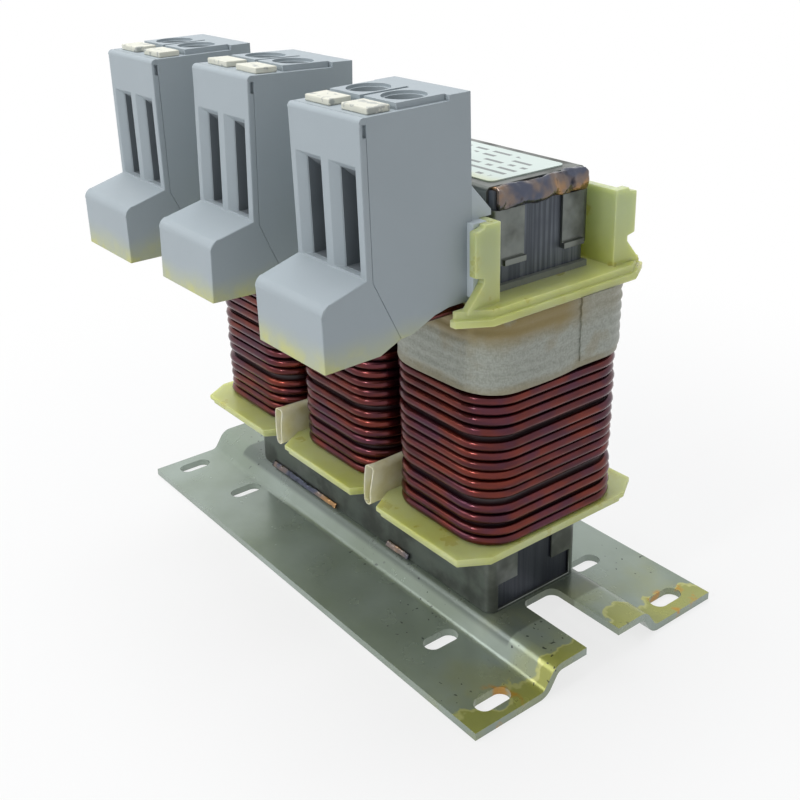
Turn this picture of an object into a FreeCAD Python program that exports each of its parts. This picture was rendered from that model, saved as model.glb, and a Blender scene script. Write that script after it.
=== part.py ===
import FreeCAD, Part
import math
import os

import Sketcher

# Three-phase line reactor: a laminated three-leg core on a folded steel base, one wound bobbin
# on each leg, and a two-pole terminal block clipped to the front wall of each bobbin.
# Millimetres. X runs along the row of coils, the terminals face -Y, Z is up, and the origin
# lies on the floor under the middle of the base.

doc = FreeCAD.newDocument("line_reactor")
sheet = doc.addObject("Spreadsheet::Sheet", "Sizes")

# Driving dimensions

SIZES = {
    # laminated core and its steel channels
    "leg_width": 25.0,
    "window_height": 75.0,
    "stack_depth": 34.3,
    "stack_corner": 2.7,
    "air_gap": 1.7,
    "gap_sheet_overhang": 1.4,
    "channel_sheet": 0.8,
    "channel_bend": 3.0,
    "end_clearance": 0.1,
    "tab_inner_edge": 7.0,
    "tab_outer_edge": 14.6,
    "tab_length": 16.5,
    "tab_lip": 1.6,
    "end_weld_height": 5.0,
    "end_weld_thickness": 1.9,
    "end_weld_reach": 2.0,
    "end_weld_belly": 0.45,
    "end_weld_slope": 0.7,
    "end_weld_crown": 0.2,
    "top_bend": 1.6,
    "label_length": 115.0,
    "label_width": 27.2,
    "label_corner": 2.0,
    "label_thickness": 0.3,
    # folded base plate
    "base_length": 182.4,
    "base_width": 96.4,
    "base_sheet": 2.4,
    "base_rise": 6.6,
    "ridge_half_width": 18.8,
    "step_run": 4.4,
    "bend_radius": 2.6,
    "notch_width": 13.3,
    "notch_depth": 26.6,
    "notch_corner": 3.0,
    "slot_length": 11.8,
    "slot_width": 5.8,
    "outer_slot_x": 84.2,
    "outer_slot_y": 35.9,
    "inner_slot_x": 55.7,
    "inner_slot_y": 30.3,
    "base_weld_size": 1.7,
    "base_weld_belly": 0.5,
    "base_weld_shoulder": 1.2,
    "base_weld_crest": 1.5,
    "long_weld_start": -54.0,
    "long_weld_length": 40.0,
    "short_weld_start": 15.0,
    "short_weld_length": 11.0,
    # bobbins
    "leg_clearance": 0.3,
    "tube_wall": 1.5,
    "flange_half_length": 23.2,
    "flange_half_depth": 34.9,
    "lower_flange": 3.2,
    "upper_flange": 4.1,
    "flange_cut_x": 5.0,
    "flange_cut_y": 8.2,
    "flange_rim": 0.9,
    "lead_notch_half": 16.0,
    "lead_notch_floor": 24.5,
    "wall_face": 21.0,
    "wall_sheet": 2.5,
    "wall_top": 21.5,
    "rib_outer": 19.5,
    "rib_sheet": 2.5,
    "rib_face": 26.5,
    "rail_reach": 2.8,
    "rail_low": 7.6,
    "rail_high": 20.0,
    "gusset_reach": 5.3,
    "gusset_height": 6.2,
    "rib_chamfer": 0.6,
    "wall_root": 1.0,
    # windings
    "coil_half_length": 22.6,
    "coil_half_depth": 28.0,
    "coil_corner": 12.0,
    "wire": 3.1,
    "turns": 21.0,
    "lead_x": 10.5,
    "ridge_angle": 34.0,
    "lead_depth": 26.3,
    "lead_reach": 44.0,
    "tape_thickness": 0.6,
    "tape_height": 20.8,
    # insulating sleeves between the bobbins
    "sleeve_height": 13.2,
    "sleeve_half_length": 33.5,
    "sleeve_wall": 0.5,
    # terminal blocks, measured from the bottom edge of their back faces
    "block_half_width": 14.6,
    "block_depth": 32.8,
    "block_height": 51.4,
    "front_plate": 1.9,
    "foot_depth": 46.0,
    "foot_low": -6.9,
    "foot_high": 9.6,
    "foot_underside": 29.7,
    "foot_rounding": 3.0,
    "ledge_level": 13.3,
    "seam_foot_depth": 23.2,
    "seam_foot_level": -4.2,
    "keel_depth": 19.3,
    "keel_level": -3.8,
    "keel_end_depth": 12.6,
    "keel_end_level": -0.9,
    "flat_depth": 8.0,
    "seam_knee_level": 12.2,
    "plate_rounding": 1.3,
    "seam_slot_low": 46.8,
    "seam_slot_high": 49.8,
    "seam_slot_depth": 1.0,
    "divider_half": 1.5,
    "entry_width": 10.9,
    "entry_low": 13.8,
    "entry_top": 40.1,
    "entry_funnel": 2.4,
    "entry_drop": 1.6,
    "chamber_front": 20.2,
    "chamber_back": 7.6,
    "chamber_high": 37.0,
    "ceiling_end": 29.6,
    "pole_x": 7.0,
    "screw_depth": 14.0,
    "screw_hole_radius": 4.9,
    "screw_dish_radius": 5.6,
    "screw_dish_depth": 0.8,
    "boss_height": 1.6,
    "boss_half_length": 7.2,
    "boss_half_width": 6.2,
    "back_bar_depth": 6.6,
    "back_bar_height": 1.4,
    "tag_half_width": 5.1,
    "tag_shift": 0.5,
    "tag_front": 29.3,
    "tag_back": 22.8,
    "tag_thickness": 1.6,
    "clamp_wall": 1.4,
    "clamp_height": 17.0,
    "screw_head_radius": 3.9,
    "screw_head_height": 4.0,
    "screw_shank_radius": 2.5,
    "screw_slot_width": 1.1,
    "screw_slot_depth": 1.6,
    "lead_hole_clearance": 0.5,
    "lead_drop": 2.8,
    # clips that carry the blocks on the bobbin walls
    "clip_front": 28.0,
    "clip_low": 2.0,
    "hook_back": 19.3,
    "hook_nose": 1.6,
    "hook_height": 9.0,
    "hook_top": 26.0,
    "hook_inset": 0.6,
    # the blocks sit in their clips with some play
    "far_seat_depth": 27.0,
    "far_seat_lift": 2.3,
    "far_lean": 0.1,
    "middle_seat_depth": 26.8,
    "middle_seat_lift": 2.3,
    "middle_lean": -1.9,
    "near_seat_depth": 25.8,
    "near_seat_lift": 0.7,
    "near_lean": 1.0,
}


class Size:
    """A length together with the spreadsheet formula that it comes from."""

    def __init__(self, value, formula):
        self.value = float(value)
        self.formula = formula

    def __add__(self, other):
        other = as_size(other)
        return Size(self.value + other.value, f"({self.formula} + {other.formula})")

    def __sub__(self, other):
        other = as_size(other)
        return Size(self.value - other.value, f"({self.formula} - {other.formula})")

    def __mul__(self, other):
        other = as_size(other)
        return Size(self.value * other.value, f"({self.formula} * {other.formula})")

    def __truediv__(self, other):
        other = as_size(other)
        return Size(self.value / other.value, f"({self.formula} / {other.formula})")

    def __neg__(self):
        return Size(-self.value, f"(-{self.formula})")

    __radd__ = __add__
    __rmul__ = __mul__


def as_size(number):
    if isinstance(number, Size):
        return number
    return Size(number, repr(float(number)))


def root(size):
    return Size(math.sqrt(size.value), f"sqrt({size.formula})")


for row, (alias, value) in enumerate(SIZES.items(), 1):
    sheet.set(f"A{row}", alias)
    sheet.set(f"B{row}", str(value))
    sheet.setAlias(f"B{row}", alias)
doc.recompute()

size = {alias: Size(sheet.get(alias), f"Sizes.{alias}") for alias in SIZES}
ZERO = as_size(0)

# Levels and places worked out from the driving dimensions

pitch = size["leg_width"] * 2
half_leg = size["leg_width"] / 2
half_stack_length = size["leg_width"] * 2.5
half_stack_depth = size["stack_depth"] / 2
base_top = size["base_rise"] + size["base_sheet"]
yoke_floor = base_top + size["channel_sheet"]
window_floor = yoke_floor + size["leg_width"]
leg_top = window_floor + size["window_height"]
upper_yoke_floor = leg_top + size["air_gap"]
upper_yoke_top = upper_yoke_floor + size["leg_width"]
core_top = upper_yoke_top + size["channel_sheet"]
channel_half_depth = half_stack_depth + size["channel_sheet"]
channel_half_length = half_stack_length + size["end_clearance"] + size["channel_sheet"]
coil_floor = window_floor + size["lower_flange"]
coil_top = leg_top - size["upper_flange"]
wall_top_level = leg_top + size["wall_top"]
COILS = ((-1, "far"), (0, "middle"), (1, "near"))


# Sketch and feature helpers

def at(across, up):
    return FreeCAD.Vector(as_size(across).value, as_size(up).value, 0)


def hold_points(sketch, points):
    """Holds points, given as (edge, end, across, up), at their places from the sketch's origin."""
    constraints, formulas = [], []
    for edge, end, across, up in points:
        for kind, length in (("DistanceX", as_size(across)), ("DistanceY", as_size(up))):
            if length.value < 0:
                length = -length
                constraints.append(Sketcher.Constraint(kind, edge, end, -1, 1, length.value))
            else:
                constraints.append(Sketcher.Constraint(kind, -1, 1, edge, end, length.value))
            formulas.append(length.formula)
    for number, formula in zip(sketch.addConstraint(constraints), formulas):
        sketch.setExpression(f"Constraints[{number}]", formula)


def new_body(label):
    body = doc.addObject("PartDesign::Body", label)
    body.Label = label
    return body


def new_sketch(body, plane, start):
    """A sketch on an origin plane of the body, lifted along the plane's normal to start."""
    sketch = body.newObject("Sketcher::SketchObject", "outline")
    plane_object = next(item for item in body.Origin.OriginFeatures if item.Role == plane)
    sketch.AttachmentSupport = [(plane_object, "")]
    sketch.MapMode = "FlatFace"
    start = as_size(start)
    sketch.AttachmentOffset = FreeCAD.Placement(FreeCAD.Vector(0, 0, start.value), FreeCAD.Rotation())
    sketch.setExpression("AttachmentOffset.Base.z", start.formula)
    return sketch


def draw_outline(sketch, points):
    """A closed outline of straight edges through the points."""
    first, count = sketch.GeometryCount, len(points)
    places = [at(*point) for point in points]
    sketch.addGeometry([Part.LineSegment(places[number - 1], places[number]) for number in range(count)], False)
    sketch.addConstraint([Sketcher.Constraint("Coincident", first + number, 2, first + (number + 1) % count, 1)
                          for number in range(count)])
    hold_points(sketch, [(first + number, 2, *point) for number, point in enumerate(points)])


def draw_rectangle(sketch, left, low, right, high):
    draw_outline(sketch, [(left, low), (right, low), (right, high), (left, high)])


def draw_upright_slot(sketch, across, up, length, width):
    """A slot with round ends that runs along the sketch's second axis."""
    radius = width / 2
    half_run = (length - width) / 2
    high, low = at(across, up + half_run), at(across, up - half_run)
    left, right = FreeCAD.Vector(-radius.value, 0, 0), FreeCAD.Vector(radius.value, 0, 0)
    normal = FreeCAD.Vector(0, 0, 1)
    top = sketch.addGeometry(Part.ArcOfCircle(Part.Circle(high, normal, radius.value), 0, math.pi), False)
    bottom = sketch.addGeometry(
        Part.ArcOfCircle(Part.Circle(low, normal, radius.value), math.pi, 2 * math.pi), False)
    left_side = sketch.addGeometry(Part.LineSegment(high + left, low + left), False)
    right_side = sketch.addGeometry(Part.LineSegment(low + right, high + right), False)
    sketch.addConstraint(Sketcher.Constraint("Tangent", top, 2, left_side, 1))
    sketch.addConstraint(Sketcher.Constraint("Tangent", left_side, 2, bottom, 1))
    sketch.addConstraint(Sketcher.Constraint("Tangent", bottom, 2, right_side, 1))
    sketch.addConstraint(Sketcher.Constraint("Tangent", right_side, 2, top, 1))
    sketch.addConstraint(Sketcher.Constraint("Equal", top, bottom))
    number = sketch.addConstraint(Sketcher.Constraint("Radius", top, radius.value))
    sketch.setExpression(f"Constraints[{number}]", radius.formula)
    hold_points(sketch, [(top, 3, across, up + half_run), (bottom, 3, across, up - half_run)])


def draw_chord_rectangle(sketch, half_length, half_depth, corner):
    """A rectangle about the sketch's origin whose round corners are three chords each."""
    points = []
    for quarter, (side, end) in enumerate(((1, 1), (-1, 1), (-1, -1), (1, -1))):
        for step in range(4):
            turn = math.radians(90 * quarter + 30 * step)
            points.append(((half_length - corner) * side + corner * round(math.cos(turn), 6),
                           (half_depth - corner) * end + corner * round(math.sin(turn), 6)))
    draw_outline(sketch, points)


def draw_polygon(sketch, across, up, radius, count):
    """A regular polygon with an even number of corners and a flat side on each side of it."""
    turns = [math.pi * (2 * number + 1) / count for number in range(count)]
    draw_outline(sketch, [(across + radius * round(math.cos(turn), 6), up + radius * round(math.sin(turn), 6))
                          for turn in turns])


def extrude(body, kind, sketch, length):
    feature = body.newObject(kind, "step")
    feature.Profile = sketch
    feature.Length = as_size(length).value
    feature.setExpression("Length", as_size(length).formula)
    return feature


def pad(body, sketch, length):
    return extrude(body, "PartDesign::Pad", sketch, length)


def pocket(body, sketch, length):
    """A cut that runs the same way as a pad, along the plane's normal."""
    feature = extrude(body, "PartDesign::Pocket", sketch, length)
    feature.Reversed = True
    return feature


def pad_outline(body, plane, start, points, length):
    sketch = new_sketch(body, plane, start)
    draw_outline(sketch, points)
    return pad(body, sketch, length)


def pocket_outline(body, plane, start, points, length):
    sketch = new_sketch(body, plane, start)
    draw_outline(sketch, points)
    return pocket(body, sketch, length)


def pad_box(body, left, front, low, right, back, high):
    sketch = new_sketch(body, "XY_Plane", low)
    draw_rectangle(sketch, left, front, right, back)
    return pad(body, sketch, as_size(high) - low)


def pocket_box(body, left, front, low, right, back, high):
    sketch = new_sketch(body, "XY_Plane", low)
    draw_rectangle(sketch, left, front, right, back)
    return pocket(body, sketch, as_size(high) - low)


def fillet(body, feature, chosen, radius):
    """Rounds the chosen edges of the feature."""
    doc.recompute()
    names = [f"Edge{number}" for number, edge in enumerate(feature.Shape.Edges, 1) if chosen(edge)]
    rounded = body.newObject("PartDesign::Fillet", "edges")
    rounded.Base = (feature, names)
    rounded.Radius = as_size(radius).value
    rounded.setExpression("Radius", as_size(radius).formula)
    return rounded


def runs_along(edge, axis):
    if edge.Curve.TypeId != "Part::GeomLine":
        return False
    return abs(abs(edge.Curve.Direction.dot(axis)) - 1) < 1e-6


def upright_edge(edge, across, depth):
    """True for an edge along Z whose place matches the given sizes, on either side of the middle."""
    middle = edge.CenterOfMass
    fits = abs(abs(middle.x) - as_size(across).value) < 0.01 and abs(abs(middle.y) - as_size(depth).value) < 0.01
    return runs_along(edge, FreeCAD.Vector(0, 0, 1)) and fits


def long_edge(edge, depth, level):
    """True for an edge along X at the given distance from the middle plane and at the given level."""
    middle = edge.CenterOfMass
    fits = abs(abs(middle.y) - as_size(depth).value) < 0.01 and abs(middle.z - as_size(level).value) < 0.01
    return runs_along(edge, FreeCAD.Vector(1, 0, 0)) and fits


def place(body, across, depth, level, lean=ZERO):
    """Moves the body to its place, leaned about X by the given number of degrees."""
    base = "; ".join(as_size(item).formula for item in (across, depth, level))
    turn = f"rotation(vector(1; 0; 0); {lean.formula})"
    body.setExpression("Placement", f"placement(vector({base}); {turn})")


# Base plate

def base_plate():
    """One steel sheet folded to a low hat, with a notch in each end and four slots in each foot."""
    body = new_body("base_plate")
    half_length = size["base_length"] / 2
    half_width = size["base_width"] / 2
    sheet_thickness, rise = size["base_sheet"], size["base_rise"]
    ridge = size["ridge_half_width"]
    step = ridge + size["step_run"]
    slope = root(size["step_run"] * size["step_run"] + rise * rise)
    inset = sheet_thickness * (slope - size["step_run"]) / rise
    right_side = [(ridge, base_top), (step, sheet_thickness), (half_width, sheet_thickness),
                  (half_width, ZERO), (step - inset, ZERO), (ridge - inset, rise)]
    left_side = [(-across, up) for across, up in reversed(right_side)]
    hat = pad_outline(body, "YZ_Plane", -half_length, right_side + left_side, size["base_length"])
    inner, outer = size["bend_radius"], size["bend_radius"] + sheet_thickness
    bends = ((ridge, base_top, outer), (ridge - inset, rise, inner),
             (step, sheet_thickness, inner), (step - inset, ZERO, outer))
    for depth, level, radius in bends:
        hat = fillet(body, hat, lambda edge: long_edge(edge, depth, level), radius)
    notch_end = half_length - size["notch_depth"]
    notch_half = size["notch_width"] / 2
    pocket_box(body, notch_end, -notch_half, rise / 2, half_length, notch_half, base_top * 2)
    hat = pocket_box(body, -half_length, -notch_half, rise / 2, -notch_end, notch_half, base_top * 2)
    fillet(body, hat, lambda edge: upright_edge(edge, notch_end, notch_half), size["notch_corner"])
    holes = new_sketch(body, "XY_Plane", ZERO)
    for side in (1, -1):
        for end in (1, -1):
            for across, depth in (("outer_slot_x", "outer_slot_y"), ("inner_slot_x", "inner_slot_y")):
                draw_upright_slot(holes, size[across] * side, size[depth] * end,
                                  size["slot_length"], size["slot_width"])
    pocket(body, holes, sheet_thickness * 2)
    return body


def base_weld(label, side, start, length):
    """A weld bead in the corner between the core's channel and the base."""
    body = new_body(label)
    bead = size["base_weld_size"]
    seat = channel_half_depth
    points = [(seat, base_top), (size["ridge_half_width"], base_top),
              (seat + bead, base_top + bead * size["base_weld_belly"]),
              (seat + bead / 2, base_top + bead * size["base_weld_shoulder"]),
              (seat, base_top + bead * size["base_weld_crest"])]
    points = [(across * side, up) for across, up in points]
    pad_outline(body, "YZ_Plane", size[start], points, size[length])
    return body


# Laminated core

def core_legs():
    """The lower lamination stack: the bottom yoke with its three legs."""
    body = new_body("core_legs")
    points = [(-half_stack_length, yoke_floor), (half_stack_length, yoke_floor)]
    for leg in (1, 0, -1):
        right, left = pitch * leg + half_leg, pitch * leg - half_leg
        if leg < 1:
            points.append((right, window_floor))
        points.append((right, leg_top))
        points.append((left, leg_top))
        if leg > -1:
            points.append((left, window_floor))
    stack = pad_outline(body, "XZ_Plane", -half_stack_depth, points, size["stack_depth"])
    fillet(body, stack, lambda edge: upright_edge(edge, half_stack_length, half_stack_depth),
           size["stack_corner"])
    return body


def core_yoke():
    """The upper lamination stack that closes the core over the air gaps."""
    body = new_body("core_yoke")
    block = pad_box(body, -half_stack_length, -half_stack_depth, upper_yoke_floor,
                    half_stack_length, half_stack_depth, upper_yoke_top)
    fillet(body, block, lambda edge: upright_edge(edge, half_stack_length, half_stack_depth),
           size["stack_corner"])
    return body


def gap_sheet(number, leg):
    """An insulating sheet that sets the air gap between one leg and the upper yoke."""
    body = new_body(f"gap_sheet_{number}")
    half_length = half_leg + size["gap_sheet_overhang"]
    half_depth = half_stack_depth - size["gap_sheet_overhang"] / 2
    pad_box(body, pitch * leg - half_length, -half_depth, leg_top,
            pitch * leg + half_length, half_depth, upper_yoke_floor)
    return body


def channel_shell(label, low, high, cavity_low, cavity_high):
    """A steel trough with rounded upright corners, as tall as one yoke."""
    body = new_body(label)
    outside = new_sketch(body, "XY_Plane", low)
    draw_chord_rectangle(outside, channel_half_length, channel_half_depth, size["channel_bend"])
    pad(body, outside, high - low)
    skin = size["channel_sheet"]
    inside = new_sketch(body, "XY_Plane", cavity_low)
    draw_chord_rectangle(inside, channel_half_length - skin, half_stack_depth, size["channel_bend"] - skin)
    return body, pocket(body, inside, cavity_high - cavity_low)


def tab_lips(body, level, direction):
    """The curled ends of the tabs, which stand a little proud of the end face."""
    face = channel_half_length
    lip = size["tab_lip"]
    low, high = (level, level + lip) if direction > 0 else (level - lip, level)
    for side in (1, -1):
        for end in (1, -1):
            left, right = sorted((face * end, (face + lip * 0.6) * end), key=lambda item: item.value)
            front, back = sorted((size["tab_inner_edge"] * side, size["tab_outer_edge"] * side),
                                 key=lambda item: item.value)
            pad_box(body, left, front, low, right, back, high)


def lower_channel():
    body, _ = channel_shell("lower_channel", base_top, window_floor, yoke_floor, window_floor * 2)
    tab_foot = window_floor - size["tab_length"]
    narrow, wide = size["tab_inner_edge"], size["tab_outer_edge"]
    points = [(-wide, yoke_floor), (wide, yoke_floor), (wide, tab_foot), (narrow, tab_foot),
              (narrow, window_floor * 2), (-narrow, window_floor * 2), (-narrow, tab_foot), (-wide, tab_foot)]
    pocket_outline(body, "YZ_Plane", channel_half_length * -1.5, points, channel_half_length * 3)
    return body


def upper_channel():
    """The trough turned over the upper yoke; its top stops short of the ends, under the weld."""
    weld_foot = upper_yoke_top - size["end_weld_height"]
    tab_foot = weld_foot - size["tab_length"] + size["tab_lip"]
    body, hollow = channel_shell("upper_channel", tab_foot, core_top, ZERO, upper_yoke_top)
    fillet(body, hollow, lambda edge: long_edge(edge, channel_half_depth, core_top), size["top_bend"])
    narrow = size["tab_inner_edge"]
    points = [(-narrow, ZERO), (narrow, ZERO), (narrow, upper_yoke_top), (-narrow, upper_yoke_top)]
    pocket_outline(body, "YZ_Plane", channel_half_length * -1.5, points, channel_half_length * 3)
    weld_start = half_stack_length - size["end_weld_reach"]
    for end in (1, -1):
        left, right = sorted((weld_start * end, channel_half_length * 1.5 * end), key=lambda item: item.value)
        pocket_box(body, left, -channel_half_depth * 1.5, weld_foot, right, channel_half_depth * 1.5,
                   core_top * 2)
    tab_lips(body, tab_foot, 1)
    return body


def end_weld(label, end):
    """The heavy weld bead that ties the upper channel to the end of the lamination stack."""
    body = new_body(label)
    face = half_stack_length
    start = face - size["end_weld_reach"]
    foot = upper_yoke_top - size["end_weld_height"]
    proud = face + size["end_weld_thickness"]
    slope = size["end_weld_slope"]
    points = [(start, upper_yoke_top), (face, upper_yoke_top), (face, foot), (proud - slope, foot),
              (proud, foot + size["end_weld_height"] * size["end_weld_belly"]),
              (proud - slope, upper_yoke_top), (face, core_top + size["end_weld_crown"]), (start, core_top)]
    points = [(across * end, up) for across, up in points]
    half_run = channel_half_depth - size["top_bend"]
    pad_outline(body, "XZ_Plane", -half_run, points, half_run * 2)
    return body


def name_plate():
    body = new_body("name_plate")
    half_length, half_width = size["label_length"] / 2, size["label_width"] / 2
    plate = pad_box(body, -half_length, -half_width, core_top, half_length, half_width,
                    core_top + size["label_thickness"])
    fillet(body, plate, lambda edge: upright_edge(edge, half_length, half_width), size["label_corner"])
    return body


# Bobbins

def flange_outline(half_length, half_depth, cut_x, cut_y):
    right = [(half_length, -half_depth + cut_y), (half_length, half_depth - cut_y),
             (half_length - cut_x, half_depth)]
    left = [(-across, up) for across, up in reversed(right)]
    return [(-half_length + cut_x, -half_depth), (half_length - cut_x, -half_depth)] + right + left


def bobbin(number, leg):
    """A moulded bobbin: a tube on the leg, two flanges, and a ribbed wall on each long side."""
    body = new_body(f"bobbin_{number}")
    half_length, half_depth = size["flange_half_length"], size["flange_half_depth"]
    cuts = (size["flange_cut_x"], size["flange_cut_y"])
    rim = size["flange_rim"]
    hole_x, hole_y = half_leg + size["leg_clearance"], half_stack_depth + size["leg_clearance"]
    tube_x, tube_y = hole_x + size["tube_wall"], hole_y + size["tube_wall"]
    full = flange_outline(half_length, half_depth, *cuts)
    stepped = flange_outline(half_length - rim, half_depth - rim, *cuts)
    pad_outline(body, "XY_Plane", window_floor, stepped, size["lower_flange"] / 2)
    pad_outline(body, "XY_Plane", window_floor + size["lower_flange"] / 2, full, size["lower_flange"] / 2)
    pad_box(body, -tube_x, -tube_y, window_floor, tube_x, tube_y, leg_top)
    pad_outline(body, "XY_Plane", coil_top, full, size["upper_flange"] / 2)
    pad_outline(body, "XY_Plane", coil_top + size["upper_flange"] / 2, stepped, size["upper_flange"] / 2)
    notch = size["lead_notch_half"]
    pocket_box(body, -notch, half_depth * -1.1, coil_top - 1, notch, -size["lead_notch_floor"], leg_top + 1)
    wall_back = size["wall_face"] + size["wall_sheet"]
    rib_inner = size["rib_outer"] - size["rib_sheet"]
    rail_face = size["rib_face"] + size["rail_reach"]
    gusset_face = size["rib_face"] + size["gusset_reach"]
    for side in (-1, 1):
        front, back = sorted((size["wall_face"] * side, wall_back * side), key=lambda item: item.value)
        pad_box(body, -size["rib_outer"], front, coil_top + size["upper_flange"] / 2,
                size["rib_outer"], back, wall_top_level)
        foot, low, high = leg_top - size["wall_root"], leg_top + size["rail_low"], leg_top + size["rail_high"]
        bevel, face = size["rib_chamfer"], size["rib_face"]
        rib = [(size["wall_face"], foot), (gusset_face, foot), (gusset_face, leg_top),
               (face, leg_top + size["gusset_height"]), (face, low), (rail_face, low + bevel),
               (rail_face, high), (face, high + bevel), (face - bevel, wall_top_level),
               (size["wall_face"], wall_top_level)]
        rib = [(across * side, up) for across, up in rib]
        pad_outline(body, "YZ_Plane", rib_inner, rib, size["rib_sheet"])
        pad_outline(body, "YZ_Plane", -size["rib_outer"], rib, size["rib_sheet"])
    pocket_box(body, -hole_x, -hole_y, ZERO, hole_x, hole_y, leg_top * 2)
    place(body, pitch * leg, ZERO, ZERO)
    return body


# Windings

def bent_lead(body, across, foot, level):
    """A lead that rises from the top turn, turns forward and runs into the terminal block."""
    radius, depth, sides = size["wire"] / 2, size["lead_depth"], 8
    flat = radius * round(math.cos(math.pi / sides), 6)
    rise = new_sketch(body, "XY_Plane", foot)
    draw_polygon(rise, across, -depth, radius, sides)
    pad(body, rise, level + flat - foot)
    run = new_sketch(body, "XZ_Plane", depth - flat)
    draw_polygon(run, across, level, radius, sides)
    pad(body, run, size["lead_reach"] - depth + flat)


def winding(number, leg, name):
    """Enamelled copper wire on the bobbin tube: a ridge for each turn, and its two leads.

    Every turn repeats the same few flat faces round the corners.
    """
    body = new_body(f"winding_{number}")
    turn_pitch = (coil_top - coil_floor) / size["turns"]
    outline = new_sketch(body, "XY_Plane", coil_floor + turn_pitch / 2)
    draw_chord_rectangle(outline, size["coil_half_length"], size["coil_half_depth"], size["coil_corner"])
    turn = pad(body, outline, turn_pitch / 2)
    turn.SideType = "Two sides"
    turn.setExpression("Length2", (turn_pitch / 2).formula)
    for side in ("TaperAngle", "TaperAngle2"):
        turn.setExpression(side, (-size["ridge_angle"]).formula)
    turns = body.newObject("PartDesign::LinearPattern", "turns")
    turns.Originals = [turn]
    turns.Direction = (next(item for item in body.Origin.OriginFeatures if item.Role == "Z_Axis"), [""])
    turns.setExpression("Length", (coil_top - coil_floor - turn_pitch).formula)
    turns.setExpression("Occurrences", "Sizes.turns")
    body.Tip = turns
    tube_x = half_leg + size["leg_clearance"] + size["tube_wall"]
    tube_y = half_stack_depth + size["leg_clearance"] + size["tube_wall"]
    pocket_box(body, -tube_x, -tube_y, ZERO, tube_x, tube_y, leg_top)
    level = leg_top + size[f"{name}_seat_lift"] - size["lead_drop"]
    for side in (-1, 1):
        bent_lead(body, size["lead_x"] * side, coil_top - turn_pitch, level)
    place(body, pitch * leg, ZERO, ZERO)
    return body


def winding_tape(number, leg):
    """Insulating tape wrapped round the top turns."""
    body = new_body(f"tape_{number}")
    thickness = size["tape_thickness"]
    half_length, half_depth = size["coil_half_length"], size["coil_half_depth"]
    band = new_sketch(body, "XY_Plane", coil_top - size["tape_height"])
    draw_chord_rectangle(band, half_length + thickness, half_depth + thickness,
                         size["coil_corner"] + thickness)
    draw_chord_rectangle(band, half_length, half_depth, size["coil_corner"])
    pad(body, band, size["tape_height"])
    place(body, pitch * leg, ZERO, ZERO)
    return body


def sleeve(number, gap):
    """A flattened loop of insulating film wedged between the lower flanges of two bobbins."""
    body = new_body(f"phase_sleeve_{number}")
    half_width = pitch / 2 - size["flange_half_length"]
    half_height = size["sleeve_height"] / 2
    wall = size["sleeve_wall"]
    fold = half_width - wall / 2
    loop = new_sketch(body, "XZ_Plane", -size["sleeve_half_length"])
    draw_chord_rectangle(loop, half_width, half_height, fold)
    draw_chord_rectangle(loop, half_width - wall, half_height - wall, fold - wall)
    pad(body, loop, size["sleeve_half_length"] * 2)
    place(body, pitch * gap, ZERO, window_floor + half_height)
    return body


# Terminal blocks, drawn with their back face in the XZ plane and their front towards -Y

def side_outline(points):
    """Turns (depth in front of the back face, height) pairs to the block's YZ plane."""
    return [(-as_size(depth), up) for depth, up in points]


def place_block_part(body, leg, name):
    place(body, pitch * leg, -size[f"{name}_seat_depth"], leg_top + size[f"{name}_seat_lift"],
          size[f"{name}_lean"])


def entry_span(side):
    """Left and right edges of the wire entry on one side of the block."""
    inner = size["divider_half"] * side
    outer = (size["divider_half"] + size["entry_width"]) * side
    return (inner, outer) if side > 0 else (outer, inner)


def front_housing(number, leg, name):
    """The front half of the moulded block: the projecting foot and the plate with two wire entries."""
    body = new_body(f"terminal_front_{number}")
    width, half_width = size["block_half_width"] * 2, size["block_half_width"]
    seam = size["block_depth"] - size["front_plate"]
    profile = [(size["block_depth"], size["block_height"]), (seam, size["block_height"]),
               (seam, size["seam_knee_level"]), (size["seam_foot_depth"], size["seam_foot_level"]),
               (size["foot_underside"], size["foot_low"]), (size["foot_depth"], size["foot_low"]),
               (size["foot_depth"], size["foot_high"]), (size["block_depth"], size["ledge_level"])]
    block = pad_outline(body, "YZ_Plane", -half_width, side_outline(profile), width)
    block = fillet(body, block, lambda edge: long_edge(edge, size["foot_depth"], size["foot_high"]),
                   size["foot_rounding"])
    fillet(body, block, lambda edge: long_edge(edge, size["block_depth"], size["block_height"]),
           size["plate_rounding"])
    funnel = size["entry_funnel"]
    for side in (-1, 1):
        left, right = entry_span(side)
        mouth = new_sketch(body, "XZ_Plane", size["block_depth"])
        draw_rectangle(mouth, left, size["entry_low"], right, size["entry_top"])
        throat = new_sketch(body, "XZ_Plane", seam)
        draw_rectangle(throat, left + funnel, size["entry_low"], right - funnel,
                       size["entry_top"] - size["entry_drop"])
        taper = body.newObject("PartDesign::SubtractiveLoft", "funnel")
        taper.Profile = mouth
        taper.Sections = [throat]
        taper.Ruled = True
    slot_half = size["seam_slot_depth"]
    points = [(seam, size["seam_slot_low"]), (seam + slot_half, size["seam_slot_low"]),
              (seam + slot_half, size["seam_slot_high"]), (seam, size["seam_slot_high"])]
    pocket_outline(body, "YZ_Plane", half_width - slot_half, side_outline(points), slot_half * 2)
    place_block_part(body, leg, name)
    return body


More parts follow.
